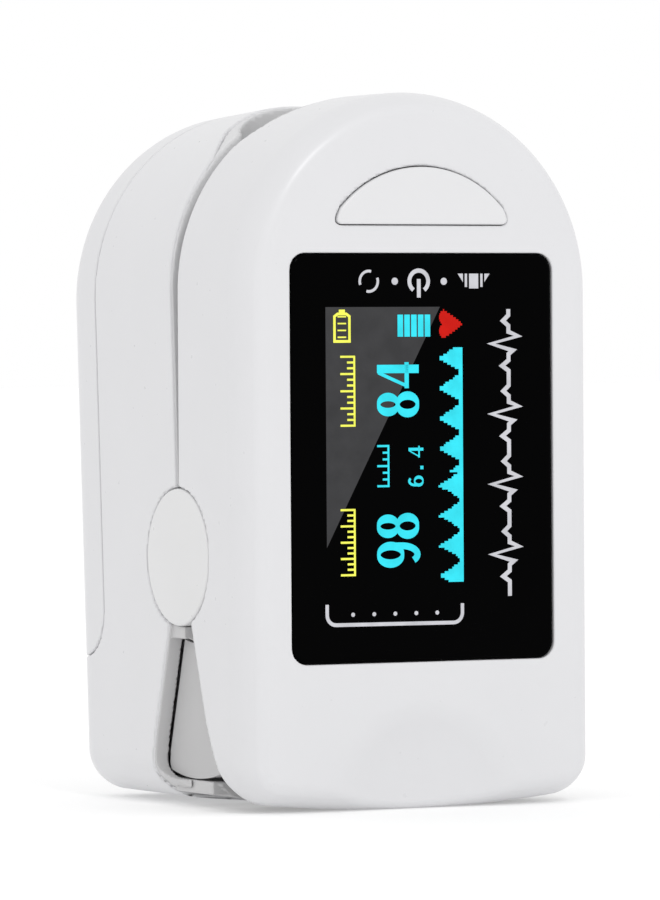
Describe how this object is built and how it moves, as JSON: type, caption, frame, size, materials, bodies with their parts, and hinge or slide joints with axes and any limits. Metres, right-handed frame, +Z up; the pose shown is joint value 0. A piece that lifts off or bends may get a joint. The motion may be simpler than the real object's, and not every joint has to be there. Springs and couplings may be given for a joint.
{
  "type": "fingertip pulse oximeter",
  "caption": "Clip-on fingertip pulse oximeter: two arched white halves hinged near the squeeze end, with a black display window, a half-moon power button and a slide-off battery door.",
  "frame": {"origin": "centre of the underside of the bounding box, on the surface it stands on", "axes": "+Z up along the finger channel, from the squeeze end to the arched end; +X across the display; the display faces -Y and the battery door +Y"},
  "size_m": [0.0328, 0.0352, 0.058],
  "materials": {
    "white_shell": "white ABS, satin gloss",
    "cap_plastic": "white ABS, satin gloss",
    "button_plastic": "white ABS, satin gloss",
    "window_black": "polished black acrylic",
    "tape_grey": "double-sided tape",
    "oled_glass": "thin display glass",
    "foam_grey": "foam pad",
    "flex_orange": "polyimide film",
    "plunger_black": "moulded",
    "switch_steel": "stamped",
    "board_green": "solder-masked laminate",
    "chip_black": "moulded epoxy",
    "ceramic_tan": "small ceramic parts",
    "frame_grey": "light grey ABS",
    "pad_rubber": "soft silicone",
    "pin_gold": "plated pins",
    "led_white": "LED package",
    "lens_red": "red-tinted window",
    "lens_clear": "clear window",
    "screw_steel": "zinc-plated",
    "cell_steel": "nickel-plated can",
    "sleeve_green": "printed film, plain",
    "contact_steel": "nickel-plated",
    "spring_steel": "spring steel wire",
    "shaft_steel": "drawn steel"
  },
  "bodies": {
    "rear_half": {"rear_cover": "white_shell", "rear_frame": "frame_grey", "rear_finger_pad": "pad_rubber", "detector_board": "board_green", "photodetector": "chip_black", "detector_lens": "lens_clear", "rear_screws": "screw_steel", "battery_left": "cell_steel", "battery_right": "cell_steel", "battery_sleeve_left": "sleeve_green", "battery_sleeve_right": "sleeve_green", "bridge_contact": "contact_steel", "positive_contact": "contact_steel", "negative_contact": "contact_steel", "bridge_spring": "spring_steel", "negative_spring": "spring_steel", "hinge_shaft": "shaft_steel", "hinge_cap_left": "cap_plastic", "hinge_cap_right": "cap_plastic", "torsion_spring_left": "spring_steel", "torsion_spring_right": "spring_steel", "flex_cable": "flex_orange"},
    "front_half": {"front_cover": "white_shell", "display_window": "window_black", "window_tape": "tape_grey", "oled_panel": "oled_glass", "oled_foam": "foam_grey", "oled_ribbon": "flex_orange", "tact_switch": "switch_steel", "main_board": "board_green", "microcontroller": "chip_black", "board_components": "ceramic_tan", "front_frame": "frame_grey", "front_finger_pad": "pad_rubber", "emitter_board": "board_green", "emitter_pins": "pin_gold", "led_emitter": "led_white", "emitter_lens": "lens_red", "front_screws": "screw_steel"},
    "button": {"power_button": "button_plastic", "switch_plunger": "plunger_black"},
    "door": {"battery_door": "white_shell"}
  },
  "joints": [
    {"name": "jaw_hinge", "type": "hinge", "parent": "rear_half", "child": "front_half", "pos_m": [0, -0.00479, 0.0204], "axis": [1, 0, 0], "range_deg": [0, 16], "stiffness_Nm_per_rad": 0.2, "springref_deg": -28.65, "deforming": ["torsion_spring_left", "torsion_spring_right", "flex_cable"]},
    {"name": "power_button_press", "type": "slide", "parent": "front_half", "child": "button", "axis": [0, 1, 0], "range_m": [0, 0.0004], "stiffness_N_per_m": 300},
    {"name": "battery_door_slide", "type": "slide", "parent": "rear_half", "child": "door", "axis": [0, 0.0523, 0.9986], "range_m": [0, 0.06]}
  ]
}
